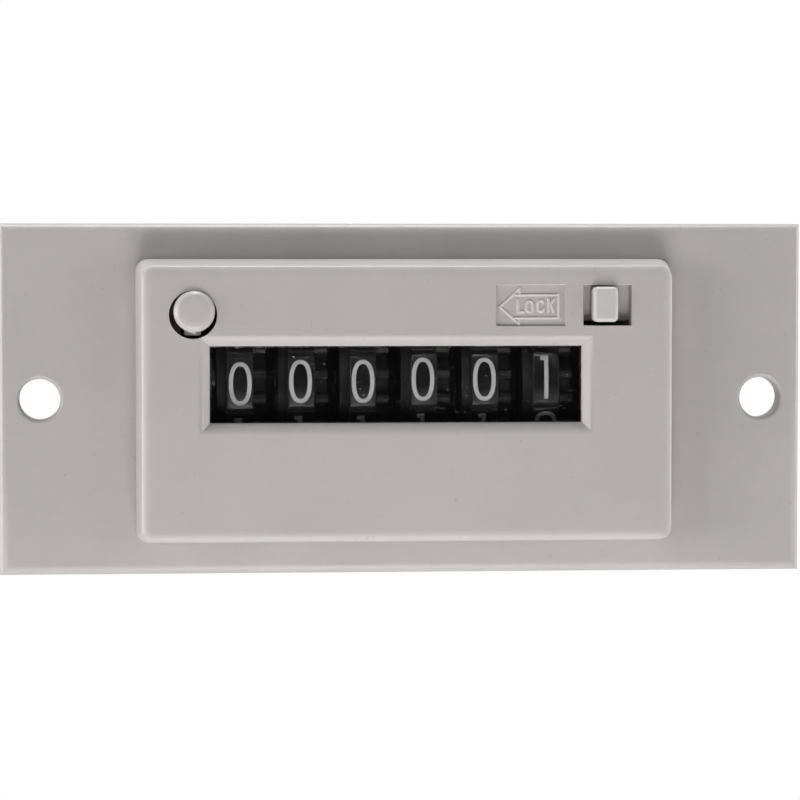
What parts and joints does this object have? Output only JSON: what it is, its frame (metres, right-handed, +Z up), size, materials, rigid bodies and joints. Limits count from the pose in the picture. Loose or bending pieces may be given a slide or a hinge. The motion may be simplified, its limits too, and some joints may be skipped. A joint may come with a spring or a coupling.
{
  "type": "panel counter",
  "caption": "Flush panel counter: oblong screw-on plate, raised bezel with a window over number wheels, a round reset button, a lock slide and a boxed drive behind.",
  "frame": {"origin": "centre of the plate's back face, where the plate meets the panel", "axes": "+X to the right of the front, +Y into the panel, +Z up"},
  "size_m": [0.0804, 0.0566, 0.035],
  "materials": {
    "plate_plastic": "fine matte, light warm grey",
    "bezel_plastic": "fine matte, light warm grey",
    "lens_clear": "clear, polished",
    "case_plastic": "moulded black",
    "wheel_plastic": "moulded black, satin",
    "pinion_plastic": "natural nylon",
    "button_plastic": "moulded grey",
    "slide_plastic": "moulded grey",
    "bail_plastic": "natural moulded",
    "frame_steel": "zinc plated sheet",
    "shaft_steel": "ground",
    "spring_steel": "tempered",
    "soft_iron": "plated soft iron",
    "copper_wire": "enamelled copper",
    "bobbin_plastic": "natural moulded",
    "terminal_brass": "tinned brass"
  },
  "bodies": {
    "housing": {"mounting_plate": "plate_plastic", "front_bezel": "bezel_plastic", "window_lens": "lens_clear", "rear_case": "case_plastic", "clip_left": "spring_steel", "clip_right": "spring_steel", "reset_spring": "spring_steel", "mechanism_frame": "frame_steel", "wheel_shaft": "shaft_steel", "bail_shaft": "shaft_steel", "shaft_clip_left": "spring_steel", "shaft_clip_right": "spring_steel", "magnet_yoke": "soft_iron", "magnet_core": "soft_iron", "bobbin": "bobbin_plastic", "coil_winding": "copper_wire", "armature_pin": "shaft_steel", "return_spring": "spring_steel", "terminal_left": "terminal_brass", "terminal_right": "terminal_brass", "coil_lead_left": "copper_wire", "coil_lead_right": "copper_wire", "case_screw_left": "shaft_steel", "case_screw_right": "shaft_steel"},
    "wheel_1": {"number_wheel_1": "wheel_plastic"},
    "wheel_2": {"number_wheel_2": "wheel_plastic"},
    "wheel_3": {"number_wheel_3": "wheel_plastic"},
    "wheel_4": {"number_wheel_4": "wheel_plastic"},
    "wheel_5": {"number_wheel_5": "wheel_plastic"},
    "wheel_6": {"number_wheel_6": "wheel_plastic"},
    "pinion_1": {"transfer_pinion_1": "pinion_plastic"},
    "pinion_2": {"transfer_pinion_2": "pinion_plastic"},
    "pinion_3": {"transfer_pinion_3": "pinion_plastic"},
    "pinion_4": {"transfer_pinion_4": "pinion_plastic"},
    "pinion_5": {"transfer_pinion_5": "pinion_plastic"},
    "bail": {"reset_bail": "bail_plastic", "pinion_shaft": "shaft_steel"},
    "button": {"reset_button": "button_plastic"},
    "lock": {"lock_slider": "slide_plastic"},
    "armature_body": {"armature": "soft_iron", "drive_anchor": "spring_steel"}
  },
  "joints": [
    {"name": "units_wheel_spin", "type": "hinge", "parent": "housing", "child": "wheel_1", "pos_m": [0.0141, 0.0036, 0.00158], "axis": [-1, 0, 0], "continuous": true},
    {"name": "wheel_2_spin", "type": "hinge", "parent": "housing", "child": "wheel_2", "pos_m": [0.008, 0.0036, 0.00158], "axis": [-1, 0, 0], "continuous": true},
    {"name": "wheel_3_spin", "type": "hinge", "parent": "housing", "child": "wheel_3", "pos_m": [0.0019, 0.0036, 0.00158], "axis": [-1, 0, 0], "continuous": true},
    {"name": "wheel_4_spin", "type": "hinge", "parent": "housing", "child": "wheel_4", "pos_m": [-0.0042, 0.0036, 0.00158], "axis": [-1, 0, 0], "continuous": true},
    {"name": "wheel_5_spin", "type": "hinge", "parent": "housing", "child": "wheel_5", "pos_m": [-0.0103, 0.0036, 0.00158], "axis": [-1, 0, 0], "continuous": true},
    {"name": "wheel_6_spin", "type": "hinge", "parent": "housing", "child": "wheel_6", "pos_m": [-0.0164, 0.0036, 0.00158], "axis": [-1, 0, 0], "continuous": true},
    {"name": "reset_button_press", "type": "slide", "parent": "housing", "child": "button", "axis": [0, 1, 0], "range_m": [0, 0.0026], "stiffness_N_per_m": 300, "springref_m": -0.0015, "deforming": ["reset_spring"]},
    {"name": "reset_bail_swing", "type": "hinge", "parent": "housing", "child": "bail", "pos_m": [0, 0.017, -0.00202], "axis": [-1, 0, 0], "range_deg": [0, 13.92]},
    {"name": "pinion_1_spin", "type": "hinge", "parent": "bail", "child": "pinion_1", "pos_m": [0.01007, 0.01413, 0.00541], "axis": [-1, 0, 0], "continuous": true},
    {"name": "pinion_2_spin", "type": "hinge", "parent": "bail", "child": "pinion_2", "pos_m": [0.00397, 0.01413, 0.00541], "axis": [-1, 0, 0], "continuous": true},
    {"name": "pinion_3_spin", "type": "hinge", "parent": "bail", "child": "pinion_3", "pos_m": [-0.00213, 0.01413, 0.00541], "axis": [-1, 0, 0], "continuous": true},
    {"name": "pinion_4_spin", "type": "hinge", "parent": "bail", "child": "pinion_4", "pos_m": [-0.00823, 0.01413, 0.00541], "axis": [-1, 0, 0], "continuous": true},
    {"name": "pinion_5_spin", "type": "hinge", "parent": "bail", "child": "pinion_5", "pos_m": [-0.01433, 0.01413, 0.00541], "axis": [-1, 0, 0], "continuous": true},
    {"name": "lock_slide", "type": "slide", "parent": "housing", "child": "lock", "axis": [1, 0, 0], "range_m": [-0.0008, 0.0013]},
    {"name": "armature_swing", "type": "hinge", "parent": "housing", "child": "armature_body", "pos_m": [0, 0.02253, -0.0083], "axis": [-1, 0, 0], "range_deg": [0, 3.6], "stiffness_Nm_per_rad": 0.04, "springref_deg": -17.19, "deforming": ["return_spring"]}
  ],
  "couplings": [
    {"joint": "wheel_2_spin", "follows": "units_wheel_spin", "ratio": 0.1},
    {"joint": "wheel_3_spin", "follows": "units_wheel_spin", "ratio": 0.01},
    {"joint": "wheel_4_spin", "follows": "units_wheel_spin", "ratio": 0.001},
    {"joint": "wheel_5_spin", "follows": "units_wheel_spin", "ratio": 0.0001},
    {"joint": "wheel_6_spin", "follows": "units_wheel_spin", "ratio": 0.00001},
    {"joint": "reset_bail_swing", "follows": "reset_button_press", "rad_per_m": 93.289},
    {"joint": "pinion_1_spin", "follows": "units_wheel_spin", "ratio": -0.25},
    {"joint": "pinion_2_spin", "follows": "units_wheel_spin", "ratio": -0.025},
    {"joint": "pinion_3_spin", "follows": "units_wheel_spin", "ratio": -0.0025},
    {"joint": "pinion_4_spin", "follows": "units_wheel_spin", "ratio": -0.00025},
    {"joint": "pinion_5_spin", "follows": "units_wheel_spin", "ratio": -0.000025}
  ]
}
